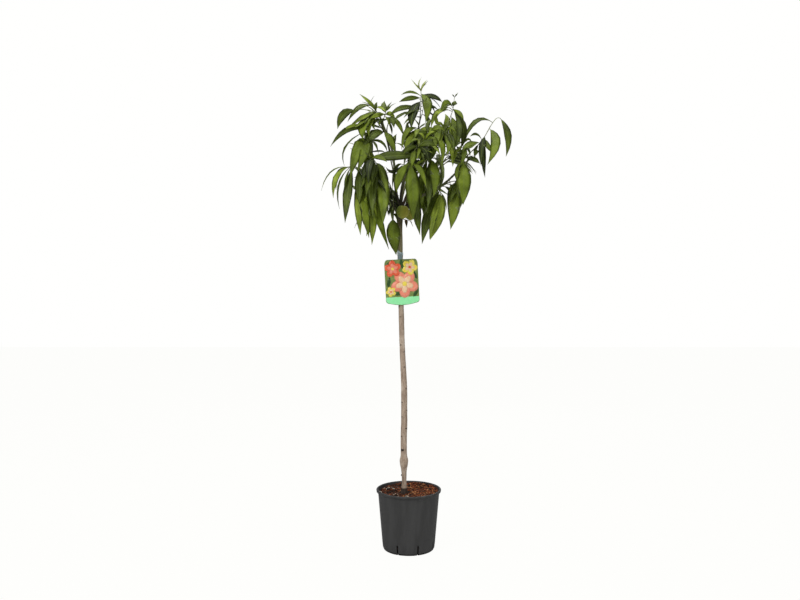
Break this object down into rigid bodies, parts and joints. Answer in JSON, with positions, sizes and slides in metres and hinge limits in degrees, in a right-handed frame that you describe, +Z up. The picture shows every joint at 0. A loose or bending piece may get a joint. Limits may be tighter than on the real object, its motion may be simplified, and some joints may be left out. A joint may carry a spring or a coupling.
{
  "type": "potted dwarf peach tree",
  "caption": "Dwarf peach grafted on a slim upright stem, round airy head of long hanging leaves, in a dark plastic nursery pot with a hang tag on the stem.",
  "frame": {"origin": "centre of the pot's flat underside, on the surface that it stands on", "axes": "+Z up along the pot's axis, +X to the right and -Y towards the side that the tag faces"},
  "size_m": [0.5592, 0.3717, 1.3839],
  "materials": {
    "container": "satin",
    "soil": "matte",
    "bark": "matte",
    "shoot": "satin",
    "leaf": "satin",
    "tag": "gloss",
    "strap": "satin"
  },
  "bodies": {
    "root": {"pot": "container", "soil": "soil", "trunk": "bark", "tag_strap": "strap", "tag_plate": "tag", "bough_leader": "shoot", "bough_upper_left": "shoot", "bough_left": "shoot", "bough_left_low": "shoot", "bough_right": "shoot", "bough_upper_right": "shoot", "bough_front": "shoot", "bough_back_left": "shoot", "bough_back_right": "shoot", "bough_back_top": "shoot", "bough_back_side": "shoot", "spur_front": "shoot", "foliage_top": "leaf", "foliage_upper_left": "leaf", "foliage_left": "leaf", "foliage_left_low": "leaf", "foliage_left_tip": "leaf", "foliage_centre": "leaf", "foliage_centre_low": "leaf", "foliage_stem_drop": "leaf", "foliage_upper_right": "leaf", "foliage_right_low": "leaf", "foliage_far_right": "leaf", "foliage_back_left": "leaf", "foliage_back_right": "leaf", "foliage_back_top": "leaf", "foliage_back_side": "leaf", "foliage_front_left": "leaf"}
  },
  "joints": []
}
